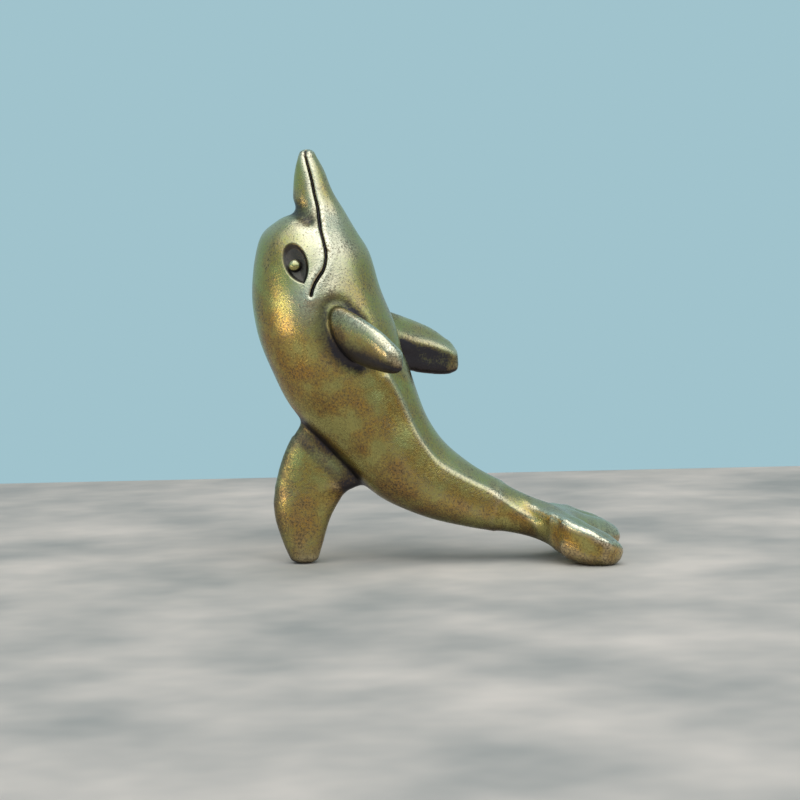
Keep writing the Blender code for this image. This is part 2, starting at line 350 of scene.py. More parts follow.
def blade_ovals(origin, chord, thickness, reach, size, stations):
    """The ovals of a blade from its root's origin, its three directions and its table."""
    lay = oval(origin, chord.normalized(), thickness.normalized(), reach.normalized())
    whole_reach, whole_chord, whole_thickness = (value * MM for value in size)
    ovals = []
    for place in evenly(stations, STEPS):
        out, sweep, rise, wide, thick = (share / 100 for share in smooth(stations, place))
        middle = (sweep * whole_chord, rise * whole_thickness, out * whole_reach)
        half = (wide * whole_chord / 2, thick * whole_thickness / 2, TIP_DOME * MM, 1)
        ovals.append(lay @ Matrix.Translation(middle) @ Matrix.Diagonal(half))
    return ovals


print("keels on", list(KEELS))

# %% [markdown]
# A point on the body's skin is named by its place along the ribs and by the degrees round from
# the side to the belly. The flippers, the eyes and the mouth are all placed that way, so they
# stay on the skin whatever the ribs do.

# %% Places on the skin, and the five blades
BACK_FIN_ROOT = (-29.0, 34.2)  # it hangs straight down from here, in hundredths of the height
FLIPPER_ROOTS = {RIGHT: (8.20, 31.0), LEFT: (8.50, 31.0)}
FLIPPER_SPREAD = 46.0  # degrees that a flipper points to the belly from straight out
FLIPPER_TILT = 15.0  # degrees that its chord is tipped from the line of the body
LOBE_SPLAY = 41.0  # degrees between a tail lobe and the line of the tail


def skin_point(place, degrees, side):
    """The point of the body's skin at a place along it, this far round from side to belly."""
    rib = body_rib(max(place, 0))
    dome = math.radians(90 * max(-place, 0))
    around = math.radians(degrees)
    flat = Vector((side * math.cos(around), math.sin(around), 0)) * math.cos(dome)
    return rib @ (flat + Vector((0, 0, -math.sin(dome))))


def flipper(side):
    """The ovals of a flipper, its chord along the body."""
    place, degrees = FLIPPER_ROOTS[side]
    outward, belly, tail = body_axes(place)
    spread = math.radians(FLIPPER_SPREAD)
    reach = side * outward * math.cos(spread) + belly * math.sin(spread)
    chord = Matrix.Rotation(side * math.radians(FLIPPER_TILT), 3, reach) @ tail
    root = skin_point(place, degrees, side)
    return blade_ovals(root, chord, reach.cross(chord), reach, FLIPPERS[side], FLIPPER_STATIONS)


def tail_lobe(side):
    """The ovals of one of the two lobes of the tail, splayed from the end of the tail stock."""
    outward, belly, tail = body_axes(LOBE_START)
    splay = math.radians(LOBE_SPLAY)
    reach = tail * math.cos(splay) + side * outward * math.sin(splay)
    root = body_rib(LOBE_START).translation
    return blade_ovals(root, side * belly.cross(reach), belly, reach, TAIL_LOBE, LOBE_STATIONS)


back_root = Vector((BACK_FIN_ROOT[0], 0, BACK_FIN_ROOT[1])) / 100 * HEIGHT * MM
down, ahead, across = Vector((0, 0, -1)), Vector((1, 0, 0)), Vector((0, 1, 0))
blades = {"back_fin": blade_ovals(back_root, ahead, across, down, BACK_FIN, BACK_FIN_STATIONS)}
for side, prefix in ((RIGHT, "right"), (LEFT, "left")):
    blades[prefix + "_flipper"] = flipper(side)
    blades[prefix + "_lobe"] = tail_lobe(side)
for name, ovals in blades.items():
    swell = keeled(KEELS[name]) if name in KEELS else None
    shells[name] = skinned(domed(ovals), BLADE_POINTS, swell)
print("blades:", [name for name in shells if name != "body"])

# %% [markdown]
# ## One casting
#
# On the real thing there is no joint between body and fins: wax was carved in one lump and cast.
# The six shells are put in one mesh and voxel-remeshed, which keeps only their common outside
# and gives even little squares all over. A Boolean union would also join them, but with sharp
# seams and long thin faces that don't take carving. Smoothing then rounds the seams, as wax
# and polishing do. The floor cut comes much later, so the feet stay flat.

# %% Six shells become one skin
VOXEL = 0.22 * MM
ROUNDING = 4  # passes of smoothing
MIDDLE_SHIFT = Vector((0.3786, 1.9022, 0)) * MM  # centres the casting's box over the origin

merged = bpy.data.meshes.new("six_shells")
together = bmesh.new()
searches = {}
for name, shell in shells.items():
    bmesh.ops.translate(shell, vec=MIDDLE_SHIFT, verts=shell.verts[:])
    searches[name] = BVHTree.FromBMesh(shell)
    part = bpy.data.meshes.new(name)
    shell.to_mesh(part)
    shell.free()
    together.from_mesh(part)
    bpy.data.meshes.remove(part)
together.to_mesh(merged)
together.free()


def modified(mesh, kind, **settings):
    """A copy of the mesh with one modifier applied to it."""
    holder = bpy.data.objects.new("holder", mesh)
    bpy.context.scene.collection.objects.link(holder)
    step = holder.modifiers.new("step", kind)
    for name, value in settings.items():
        setattr(step, name, value)
    graph = bpy.context.evaluated_depsgraph_get()
    result = bpy.data.meshes.new_from_object(holder.evaluated_get(graph))
    bpy.data.objects.remove(holder)
    return result


even = modified(merged, "REMESH", mode="VOXEL", voxel_size=VOXEL)
skin = bmesh.new()
skin.from_mesh(modified(even, "SMOOTH", factor=0.5, iterations=ROUNDING))
print("one skin:", len(skin.faces), "faces")

# %% [markdown]
# The back fin and the tail lobes flow into the body with a wide fillet, and the flippers with a
# tighter one. So the points close to both the body's shell and a blade's get more passes of
# smoothing. The distance to a shell comes from a search tree of its faces.

# %% Wider fillets
ALL_AXES = {"use_axis_x": True, "use_axis_y": True, "use_axis_z": True}
FILLETS = {
    # how far from the seam it reaches, and its passes of smoothing
    "back_fin": (1.7 * MM, 20),
    "right_lobe": (2.5 * MM, 70),
    "left_lobe": (2.5 * MM, 70),
    "right_flipper": (1.7 * MM, 5),
    "left_flipper": (1.7 * MM, 5),
}


def seam_distance(point, name, reach):
    """How far a point is from the line where a blade's shell meets the body's, or None."""
    to_body = searches["body"].find_nearest(point, reach)[3]
    to_blade = searches[name].find_nearest(point, reach)[3]
    if to_body is None or to_blade is None:
        return None
    return math.hypot(to_body, to_blade)


for name, (fillet_reach, passes) in FILLETS.items():
    zone = []
    for vert in skin.verts:
        away = seam_distance(vert.co, name, fillet_reach)
        if away is not None and away < fillet_reach:
            zone.append(vert)
    for _ in range(passes):
        bmesh.ops.smooth_vert(skin, verts=zone, factor=0.5, **ALL_AXES)
    print(name, "fillet:", len(zone), "points,", passes, "passes")

# %% [markdown]
# Wax that was pared by hand is never a perfect surface. A slow noise pushes it in and out by a
# few hundredths of a millimetre, too little to see in the outline, but enough to bend a highlight.

# %% Hand-made unevenness
WAVER = 0.07 * MM
WAVER_LENGTH = 3.2 * MM

skin.normal_update()
moves = [(vert, vert.normal * WAVER * noise.noise(vert.co / WAVER_LENGTH)) for vert in skin.verts]
for vert, move in moves:
    vert.co += move
print("uneven by", round(max(move.length for _, move in moves) / MM, 3), "mm at most")

# %% [markdown]
# ## The carving
#
# The mouth, the almond eyes and the crease behind the beak were cut into the wax with a small
# gouge. They are carved here the same way: every point of the skin near a cut is pushed in along
# its normal, by a depth that depends on how far from the cut it is. That gives soft shoulders,
# and a Boolean would give hard corners.
#
# A cut is a line of places on the skin, so it can be drawn in the same terms as the flippers.

# %% Where the cuts run
MOUTH_LINE = (
    # place, degrees, from the beak's tip to the corner
    (-0.8, 2.0), (-0.27, 1.0), (0.42, 9.4), (1.07, 15.5), (1.5, 18.6), (2.1, 19.0), (3.0, 16.5),
    (3.95, 23.5), (4.96, 29.0), (5.52, 29.7), (5.95, 29.2), (6.24, 27.5), (6.48, 24.5),
    (6.67, 19.8), (6.86, 15.4), (7.04, 12.4), (7.2, 10.4),
)
BEAK_CREASE = ((3.86, 6), (3.64, -3), (3.33, -18), (3.05, -45), (2.95, -73), (2.95, -90))
CHINE = (
    # the soft edge between the tail's upper and lower faces
    (11.0, 46), (11.8, 46), (12.7, 43), (13.6, 39), (14.4, 35), (15.2, 36), (16.0, 37), (16.4, 32),
    (16.85, 22), (17.35, 10), (17.75, 1), (18.1, -3),
)
LINE_STEPS = 24  # points along a cut from one row to the next
EYE_PLACE = (6.24, -2.0)
EYE_TIP = 21.0  # degrees that the almond's tail end is tipped towards the belly
EYE_FRONT, EYE_BACK, EYE_HALF = 2.05, 2.45, 1.28  # from its middle to its ends and to its sides


def on_surface(points):
    """The points of the skin nearest to these."""
    return [surface.find_nearest(point)[0] for point in points]


def line_points(rows, side):
    """Points along a cut, on the skin and close enough together to measure distances from."""
    places = evenly(rows, LINE_STEPS)
    points = [skin_point(*smooth(rows, place), side) + MIDDLE_SHIFT for place in places]
    return on_surface(points)


def tree_of(points):
    """A search tree that finds the nearest of these points."""
    tree = KDTree(len(points))
    for index, point in enumerate(points):
        tree.insert(point, index)
    tree.balance()
    return tree


surface = BVHTree.FromBMesh(skin)
mouth_points = line_points(MOUTH_LINE, RIGHT) + line_points(MOUTH_LINE, LEFT)
crease_points = line_points(BEAK_CREASE, RIGHT) + line_points(BEAK_CREASE, LEFT)
chine_points = line_points(CHINE, RIGHT) + line_points(CHINE, LEFT)
corner = math.radians(LOBE_KEELS[0][0])
on_corner = Vector((math.cos(corner), math.sin(corner), 0))
for name in ("right_lobe", "left_lobe"):  # the tail's soft edge runs on along the lobes' corners
    corners = [lobe_oval @ on_corner + MIDDLE_SHIFT for lobe_oval in blades[name]]
    chine_points += on_surface(corners[len(corners) // 5:])
mouth, crease, chine = tree_of(mouth_points), tree_of(crease_points), tree_of(chine_points)


def eye_axes(side):
    """The eye's middle, and its directions along the almond, across it and out of the skin."""
    step, swing = 0.05, 2.0  # short ways along the body and round it
    place, degrees = EYE_PLACE
    tail = skin_point(place + step, degrees, side) - skin_point(place - step, degrees, side)
    belly = skin_point(place, degrees + swing, side) - skin_point(place, degrees - swing, side)
    tail.normalize()
    out = side * tail.cross(belly).normalized()
    tip = Matrix.Rotation(math.radians(EYE_TIP) * side, 3, out)
    along, over = tip @ tail, tip @ (out.cross(tail) * side)
    return skin_point(place, degrees, side) + MIDDLE_SHIFT, along, over, out


eyes = {side: eye_axes(side) for side in (RIGHT, LEFT)}
print("mouth:", len(mouth_points), "points along the cut")

# %% [markdown]
# The mouth is narrower than two of the skin's squares, so the squares near the cuts are split.
# Finer squares everywhere would do as well, at sixteen times the weight. How far a point is from
# a cut comes from a search tree of points along it, and for the almond of an eye from its shape.

# %% Splitting the faces near the cuts
HEAD_FROM = 0.6  # mouth, crease and eyes are all above this share of the height
COARSE_REACH = 1.2 * MM  # faces this near a cut are split in four,
FINE_REACH = 0.45 * MM  # and the ones this near are split in four once more


def almond_inside(point, eye):
    """How far inside the eye's rim a point is. It is negative outside.

    The rim is round towards the beak and comes to a point towards the tail.
    """
    centre, along, over, _ = eye
    u, v = (point - centre).dot(along) / MM, (point - centre).dot(over) / MM
    if u < 0:
        return (1 - math.hypot(u / EYE_FRONT, v / EYE_HALF)) * EYE_HALF * MM
    arc = (EYE_BACK**2 + EYE_HALF**2) / (2 * EYE_HALF)  # radius of the two arcs of an almond
    return (arc - math.hypot(u, abs(v) + arc - EYE_HALF)) * MM


def near_a_cut(point, reach):
    """Whether a point is within reach of the mouth, the crease or an eye's rim."""
    if point.z < HEAD_FROM * HEIGHT * MM:
        return False
    if mouth.find(point)[2] < reach or crease.find(point)[2] < min(reach, COARSE_REACH / 2):
        return True
    eye = min(eyes.values(), key=lambda eye: (point - eye[0]).length)
    if (point - eye[0]).length > 2 * EYE_BACK * MM:
        return False
    # an eye's whole floor is split once, and only its rim is split twice
    return -reach < almond_inside(point, eye) < (EYE_BACK * MM if reach == COARSE_REACH else reach)


for reach in (COARSE_REACH, FINE_REACH):
    chosen = [face for face in skin.faces if near_a_cut(face.calc_center_median(), reach)]
    edges = list({edge for face in chosen for edge in face.edges})
    bmesh.ops.subdivide_edges(skin, edges=edges, cuts=1, use_grid_fill=True)
    print("split", len(chosen), "faces, now", len(skin.faces))

# %% [markdown]
# The mouth is a narrow round-bottomed groove between two faintly swollen lips. The crease is a
# wider, shallower hollow. An eye is an almond with a crisp rim and a floor that deepens towards
# its middle. The tail's soft edge is raised instead of cut, between two long dips. How strong
# each cut is at a point is stored with the point, for the metal's tarnish, and in the crease for
# painted shade too. So is how much the face round the mouth is rubbed pale and painted bright.

# %% Cutting the mouth, the crease and the eyes
TAIL_TO = 0.5  # below this share of the height only the tail's edge is carved
MOUTH_DEPTH, MOUTH_HALF = 0.32 * MM, 0.125 * MM
TIP_FADE, TIP_SHARE = 1.3 * MM, 0.35  # the mouth gets this shallow towards the beak's tip
LIP_RISE, LIP_PLACE, LIP_HALF = 0.05 * MM, 0.48 * MM, 0.32 * MM
CREASE_DEPTH, CREASE_HALF = 0.28 * MM, 0.75 * MM
CREASE_STAIN_AND_SHADE = 1.05 * MM  # its tarnish and painted shade reach further than its hollow
EYE_DEPTH, EYE_RIM, EYE_BOWL = 0.30 * MM, 0.40 * MM, 0.25 * MM
EYE_STAIN, EYE_STAIN_FADE = 0.35, 0.28 * MM  # tarnish at an eye's rim, and how soft it ends
CHINE_RISE, CHINE_HALF = 0.13 * MM, 0.42 * MM
CHINE_DIP, CHINE_DIP_PLACE, CHINE_DIP_HALF = 0.09 * MM, 1.5 * MM, 0.8 * MM
CHEEK_TO, CHEEK_FADE = 0.90, 0.08  # where the cheeks end and the beak begins, as shares of height
CHEEK_WEAR_AND_SHEEN, BEAK_WEAR_AND_SHEEN = 2.4 * MM, 0.7 * MM  # how far from the mouth they are rubbed pale, with a painted highlight
LEAST_MOVE = 0.001 * MM


def beside(away, rise, half, dip, dip_place, dip_half):
    """A rise along a line, with a dip on both sides of it."""
    return rise * hump(away, half) - dip * hump(away - dip_place, dip_half)


skin.normal_update()
layer_names = ("cut", "crease", "eye", "handled_and_highlit", "seam", "hollow", "ridge", "upward")
layers = {name: skin.verts.layers.float.new(name) for name in layer_names}
moves = {}
for vert in skin.verts:
    if vert.co.z < TAIL_TO * HEIGHT * MM:
        away = chine.find(vert.co)[2]
        dips = (CHINE_DIP, CHINE_DIP_PLACE, CHINE_DIP_HALF)
        moves[vert] = vert.normal * beside(away, CHINE_RISE, CHINE_HALF, *dips)
        continue
    away = mouth.find(vert.co)[2]
    cheek = ramp((CHEEK_TO - vert.co.z / (HEIGHT * MM)) / CHEEK_FADE)
    # round the mouth the brass is rubbed pale, and this also paints a highlight there
    vert[layers["handled_and_highlit"]] = hump(away, BEAK_WEAR_AND_SHEEN + (CHEEK_WEAR_AND_SHEEN - BEAK_WEAR_AND_SHEEN) * cheek)
    deep = TIP_SHARE + (1 - TIP_SHARE) * ramp((HEIGHT * MM - vert.co.z) / TIP_FADE)
    depth = beside(away, MOUTH_DEPTH * deep, MOUTH_HALF, LIP_RISE, LIP_PLACE, LIP_HALF)
    vert[layers["cut"]] = hump(away, MOUTH_HALF)
    away = crease.find(vert.co)[2]
    depth += CREASE_DEPTH * hump(away, CREASE_HALF)
    # tarnish and painted shade of the crease
    vert[layers["crease"]] = hump(away, CREASE_STAIN_AND_SHADE)
    for eye in eyes.values():
        if (vert.co - eye[0]).length < 2 * EYE_BACK * MM and vert.normal.dot(eye[3]) > 0:
            inside = almond_inside(vert.co, eye)
            depth += EYE_DEPTH * ramp(inside / EYE_RIM) + EYE_BOWL * ramp(inside / (EYE_HALF * MM))
            vert[layers["eye"]] = ramp(EYE_STAIN + inside / EYE_STAIN_FADE)
    if abs(depth) > LEAST_MOVE:
        moves[vert] = vert.normal * -depth
for vert, move in moves.items():
    vert.co += move
print("moved", len(moves), "points")

# %% [markdown]
# ## Painted shade on the fins
#
# The leading edge of the back fin is darkened, which also dulls the warm lamp's reflection on it.
# The undersides of the flippers and the part of their inner faces that lies below the keel get
# painted shade. Both are stored with the patina that the grooves round the roots will get.

# %% Painted shade on the fins
FIN_TO = 0.33  # the back fin's edge is kept dull below this share of the height
FIN_EDGE = -0.8  # where the edge runs, as a share of half the fin's chord
EDGE_SHADE, EDGE_HALF = 0.80, 1.25 * MM
ON_FLIPPER, OFF_BODY = 0.45 * MM, 0.40 * MM  # how near its shell and how far from the body's
UNDER_SHADE = 1.15  # how dark the painted shade on a flipper's inner face is below the keel,
FLAT_SHARE = 0.8  # and its underside, as a share of that
KEEL_FADE, INWARD_FADE, UNDER_FADE = 0.7 * MM, 0.5, 0.6  # how soft the borders are
TIP_FROM, TIP_TO = 0.82, 1.12  # it fades towards the tip between these shares of the flipper


def darken(vert, shade):
    """Makes the patina and painted shade on a point of the skin at least this dark."""
    vert[layers["seam"]] = max(vert[layers["seam"]], shade)


skin.normal_update()
edge_points = [fin_oval @ Vector((FIN_EDGE, 0, 0)) for fin_oval in blades["back_fin"]]
fin_edge = tree_of([point + MIDDLE_SHIFT for point in edge_points])
# the back fin's leading edge is darkened, which dulls the warm lamp's reflection on it
for vert in skin.verts:
    if vert.co.z < FIN_TO * HEIGHT * MM and vert.co.x < 0:
        darken(vert, EDGE_SHADE * hump(fin_edge.find(vert.co)[2], EDGE_HALF))
# painted shade on the flippers' undersides and below their inner keels
for name, side in (("right_flipper", RIGHT), ("left_flipper", LEFT)):
    top = Vector((0, side * (1 + INNER_KEEL), 0))
    keel = tree_of([flipper_oval @ top + MIDDLE_SHIFT for flipper_oval in blades[name]])
    inward = (blades[name][0].col[1].xyz * side).normalized()
    for vert in skin.verts:
        if searches[name].find_nearest(vert.co, ON_FLIPPER)[0] is None:
            continue
        if searches["body"].find_nearest(vert.co)[3] < OFF_BODY:
            continue
        on_keel, index, _ = keel.find(vert.co)
        inner = ramp((on_keel.z - vert.co.z) / KEEL_FADE)
        inner *= ramp(vert.normal.dot(inward) / INWARD_FADE)
        inner *= ramp((TIP_TO - index / len(blades[name])) / (TIP_TO - TIP_FROM))
        darken(vert, UNDER_SHADE * max(inner, FLAT_SHARE * ramp(-vert.normal.z / UNDER_FADE)))
print("darkened:", sum(vert[layers["seam"]] > 0.1 for vert in skin.verts), "points")

# %% [markdown]
# ## The seams and the floor
#
# Where a fin leaves the body, the gouge ran round its root and left a shallow groove. It is wider
# on the fin's side at the back fin, and on the body's side at a flipper. Dark patina, with painted
# shade of the recess, spreads from there, in a band with a clear border on the back fin, and
# fading out elsewhere.

# %% Grooves round the roots
SEAM_DEPTH = 0.24 * MM
SEAMS = {
    # half-widths of the groove on the fin's side and on the body's
    "back_fin": (0.9 * MM, 0.45 * MM),
    "right_flipper": (0.5 * MM, 0.75 * MM),
    "left_flipper": (0.5 * MM, 0.75 * MM),
}
SEAM_REACH = 1.9 * MM  # how far from a root the patina and painted shade spread on the body,
BAND_REACH, BAND_EDGE, BAND_SHADE = 2.1 * MM, 0.5 * MM, 0.72  # on the back fin,
ROOT_REACH, ROOT_SHADE, ROOT_FALL = 3.4 * MM, 0.45, 1.6  # and on a flipper,
ROOT_SHARE = 0.75  # or this share of the body's, where that is darker


def seam_shade(name, away, on_fin):
    """How dark the patina and painted shade are this far from a root, on the fin's side or on the
    body's.
    """
    shade = ramp(1 - away / SEAM_REACH)
    if on_fin and name == "back_fin":
        return BAND_SHADE * ramp((BAND_REACH - away) / BAND_EDGE)
    if on_fin:
        return max(ROOT_SHARE * shade, ROOT_SHADE * ramp(ROOT_FALL * (1 - away / ROOT_REACH)))
    return shade


moves = {}
for vert in skin.verts:
    for name, (fin_half, body_half) in SEAMS.items():
        away = seam_distance(vert.co, name, ROOT_REACH)
        if away is None:
            continue
        to_fin, to_body = (searches[n].find_nearest(vert.co)[3] for n in (name, "body"))
        # patina and painted shade round the root
        darken(vert, seam_shade(name, away, to_fin < to_body))
        facing = abs(vert.normal.y) if name == "back_fin" else 1.0  # its edges keep their outline
        groove = SEAM_DEPTH * facing * hump(away, fin_half if to_fin < to_body else body_half)
        moves[vert] = vert.normal * -groove
for vert, move in moves.items():
    vert.co += move
print("seams:", len(moves), "points moved")

# %% [markdown]
# The floor cut is a plane at the table's height. What is under it goes, and the open edge is
# filled, which leaves the small flats that the casting stands on.

# %% The flat feet
bmesh.ops.bisect_plane(
    skin, geom=skin.verts[:] + skin.edges[:] + skin.faces[:],
    plane_co=(0, 0, 0), plane_no=(0, 0, -1), clear_outer=True,
)
open_edges = [edge for edge in skin.edges if edge.is_boundary]
feet = bmesh.ops.holes_fill(skin, edges=open_edges, sides=0)["faces"]
print("feet:", len(feet), "flat faces")

# %% [markdown]
# ## Beads in the eyes
#
# Each bead is a small ball, sunk nearly halfway into the almond's floor. It is a closed shell of
# its own inside the same mesh, as a welded-on bead would be.

# %% The beads
EYE_BEAD = 1.25  # diameter
BEAD_PLACE = (6.345, -3.5)
BEAD_SINK = 0.42 * MM  # from the skin as it was before the eye was cut

seats = []
for side, (_, _, _, out) in eyes.items():
    seat = skin_point(*BEAD_PLACE, side) + MIDDLE_SHIFT - out * BEAD_SINK
    placed = Matrix.Translation(seat)
    bmesh.ops.create_icosphere(skin, subdivisions=3, radius=EYE_BEAD / 2 * MM, matrix=placed)
    seats.append(seat)
print("beads:", EYE_BEAD, "mm across")

# %% [markdown]
# ## Where dirt and painted shade stay, and where cloth rubs
#
# Old brass is dark where a cloth can't reach, and bright where it rubs. Three values are measured
# at every point of the skin and stored with it. The hollow value is the share of short rays,
# shot outwards, that hit the casting again; it darkens the hollows with patina and with painted
# shade. The ridge value is how far a point stands out from its surroundings. The third says how
# far a point faces up: undersides get painted shade and tops a painted highlight. An ambient
# occlusion node could do the first while rendering, but a stored value costs nothing to render.

# %% Measuring hollows and ridges
RAYS = 20
RAY_START, RAY_LENGTH = 0.03 * MM, 5.0 * MM
FAR_LOSS = 0.5  # how much less a hit counts at the ray's full length

skin.normal_update()
surface = BVHTree.FromBMesh(skin)
golden = math.pi * (3 - math.sqrt(5))  # turning by this angle spreads the rays evenly
dome = []
for index in range(RAYS):
    height = 1 - (index + 0.5) / RAYS
    wide, angle = math.sqrt(1 - height**2), golden * index
    dome.append(Vector((wide * math.cos(angle), wide * math.sin(angle), height)))
weights = [ray.z for ray in dome]
for vert in skin.verts:
    lay = vert.normal.to_track_quat("Z", "Y")
    start = vert.co + vert.normal * RAY_START
    hits = 0.0
    for ray, weight in zip(dome, weights):
        distance = surface.ray_cast(start, lay @ ray, RAY_LENGTH)[3]
        if distance is not None:
            hits += weight * (1 - FAR_LOSS * distance / RAY_LENGTH)
    # the hollow value darkens with patina and with painted shade
    vert[layers["hollow"]] = hits / sum(weights)
    # facing down darkens with painted shade, facing up brightens with a painted highlight
    vert[layers["upward"]] = vert.normal.z
print("hollow, mean:", round(sum(v[layers["hollow"]] for v in skin.verts) / len(skin.verts), 3))

# %% Measuring ridges
RIDGE_PASSES = 50
RIDGE_FULL = 0.22 * MM  # a point that stands out this far is a full ridge
BEAD_RIDGE = 0.3  # a bead is too small for the measure, and only faintly rubbed

before = bpy.data.meshes.new("before")
skin.to_mesh(before)
softened = modified(before, "SMOOTH", factor=0.5, iterations=RIDGE_PASSES)
for vert, soft in zip(skin.verts, softened.vertices):
    vert[layers["ridge"]] = (vert.co - soft.co).dot(vert.normal) / RIDGE_FULL
for vert in skin.verts:
    if min((vert.co - seat).length for seat in seats) < 0.51 * EYE_BEAD * MM:
        vert[layers["ridge"]] = BEAD_RIDGE
print("highest ridge:", round(max(v[layers["ridge"]] for v in skin.verts), 2))

# %% [markdown]
# The finished skin has to stay inside the CAD solid's box. The unevenness and the ridges can stand
# a few hundredths of a millimetre proud of it, so the whole skin is scaled down by that little.

# %% The finished mesh
CLEARANCE = 0.01 * MM

lows = [min(vert.co[axis] for vert in skin.verts) for axis in range(3)]
highs = [max(vert.co[axis] for vert in skin.verts) for axis in range(3)]
room = [high - low - 2 * CLEARANCE for low, high in zip(*CAD_BOX)]
shrink = min(1.0, *(space / (high - low) for space, low, high in zip(room, lows, highs)))
bmesh.ops.scale(skin, vec=(shrink, shrink, shrink), verts=skin.verts[:])
cad_middles = [(low + high) / 2 for low, high in zip(*CAD_BOX)]
middles = [(low + high) / 2 * shrink for low, high in zip(lows, highs)]
off = (cad_middles[0] - middles[0], cad_middles[1] - middles[1], 0)
bmesh.ops.translate(skin, vec=off, verts=skin.verts[:])
print("scaled by", round(shrink, 5))

data = bpy.data.meshes.new("cast_dolphin")
bmesh.ops.recalc_face_normals(skin, faces=skin.faces[:])
skin.to_mesh(data)
skin.free()
data.shade_smooth()
casting = bpy.data.objects.new("cast_dolphin", data)
bpy.context.scene.collection.objects.link(casting)
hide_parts("dolphin")
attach(casting, "root")
data.calc_loop_triangles()
print("casting:", len(data.loop_triangles), "triangles")

# %% [markdown]
# ## Grain for metal and stone
#
# Both the casting and the slab under it are speckled: the metal from the fine grit of its mould,
# the stone from its crystals. One node group makes both. It takes a point in millimetres and how
# many specks and blotches there are to a millimetre, and puts out the specks, the slower blotches
# and scattered pits. A picture of grain would also do, but it would need unwrapping, and would
# stretch round the fins.

# %% Helpers for nodes
def add(tree, kind, **settings):
    """A node of that kind, with its properties set."""
    made = tree.nodes.new(kind)
    for name, value in settings.items():
        setattr(made, name, value)
    return made


def feed(tree, socket, value):
    """Puts a number or another node's output into a socket."""
    if isinstance(value, bpy.types.NodeSocket):
        tree.links.new(value, socket)
    else:
        socket.default_value = value


def calc(tree, operation, first, second=0.0, third=0.0, clamp=False):
    """The output of a Math node."""
    made = add(tree, "ShaderNodeMath", operation=operation, use_clamp=clamp)
    for socket, value in zip(made.inputs, (first, second, third)):
        feed(tree, socket, value)
    return made.outputs["Value"]


def remap(tree, value, low, high, to_low=0.0, to_high=1.0):
    """The output of a Map Range node, which is clamped."""
    made = add(tree, "ShaderNodeMapRange")
    feed(tree, made.inputs["Value"], value)
    ends = {"From Min": low, "From Max": high, "To Min": to_low, "To Max": to_high}
    for name, number in ends.items():
        made.inputs[name].default_value = number
    return made.outputs["Result"]


def blend_colour(tree, factor, first, second):
    """The output of a colour Mix node."""
    made = add(tree, "ShaderNodeMix", data_type="RGBA")
    feed(tree, made.inputs["Factor"], factor)
    feed(tree, made.inputs["A"], first)
    feed(tree, made.inputs["B"], second)
    return made.outputs["Result"]


print("node helpers are ready")

# %% The grain group
CONTRAST = (0.30, 0.70)  # the middle part of a noise, which is stretched to the whole range
PIT_EDGE = (0.42, 0.12)  # from a cell's middle: where its pit begins, and where it is full
PIT_RARITY = (0.72, 0.90)  # a pit is left out where the cell's random value is below this

grain = bpy.data.node_groups.new("cast_grain", "ShaderNodeTree")
grain.interface.new_socket("Point", in_out="INPUT", socket_type="NodeSocketVector")
for name in ("Speck Scale", "Blotch Scale"):
    grain.interface.new_socket(name, in_out="INPUT", socket_type="NodeSocketFloat")
for name in ("Specks", "Blotches", "Pits"):
    grain.interface.new_socket(name, in_out="OUTPUT", socket_type="NodeSocketFloat")
given = add(grain, "NodeGroupInput")
specks = add(grain, "ShaderNodeTexNoise")
specks.inputs["Detail"].default_value = 3.0
specks.inputs["Roughness"].default_value = 0.65
blotches = add(grain, "ShaderNodeTexNoise")
blotches.inputs["Detail"].default_value = 3.0
cells = add(grain, "ShaderNodeTexVoronoi")
for made, scale in ((specks, "Speck Scale"), (blotches, "Blotch Scale"), (cells, "Speck Scale")):
    grain.links.new(given.outputs["Point"], made.inputs["Vector"])
    grain.links.new(given.outputs[scale], made.inputs["Scale"])
rarity = add(grain, "ShaderNodeSeparateColor")
grain.links.new(cells.outputs["Color"], rarity.inputs["Color"])
round_pits = remap(grain, cells.outputs["Distance"], *PIT_EDGE)
rare = remap(grain, rarity.outputs["Red"], *PIT_RARITY)
taken = add(grain, "NodeGroupOutput")
grain.links.new(remap(grain, specks.outputs["Fac"], *CONTRAST), taken.inputs["Specks"])
grain.links.new(remap(grain, blotches.outputs["Fac"], *CONTRAST), taken.inputs["Blotches"])
grain.links.new(calc(grain, "MULTIPLY", round_pits, rare), taken.inputs["Pits"])
print("grain group:", len(grain.nodes), "nodes")


def grained(tree, speck_scale, blotch_scale):
    """The grain group in a material, fed with the object's own coordinates in millimetres."""
    coordinates = add(tree, "ShaderNodeTexCoord")
    scaled = add(tree, "ShaderNodeMapping")
    scaled.inputs["Scale"].default_value = (1 / MM, 1 / MM, 1 / MM)
    tree.links.new(coordinates.outputs["Object"], scaled.inputs["Vector"])
    made = add(tree, "ShaderNodeGroup", node_tree=grain)
    tree.links.new(scaled.outputs["Vector"], made.inputs["Point"])
    made.inputs["Speck Scale"].default_value = speck_scale
    made.inputs["Blotch Scale"].default_value = blotch_scale
    return made.outputs


# %% [markdown]
# ## Brass
#
# The metal is one material. It starts as middling old brass, and goes pale and smooth where it
# is worn, on ridges and round the mouth, and where a highlight is painted, round the mouth and
# wherever it faces up. It goes dark and dull in hollows, cuts and seams, with patina that in
# hollows, seams and the crease is also painted shade, and on undersides, where it is painted
# shade. Grain breaks up every border between them, so nothing looks sprayed on. All of it stays
# metal: the patina is thin, so it darkens the reflections rather than hiding them.

# %% The brass
BRASS_GRAIN = (5.0, 0.40)  # scales of its specks and its blotches, per millimetre
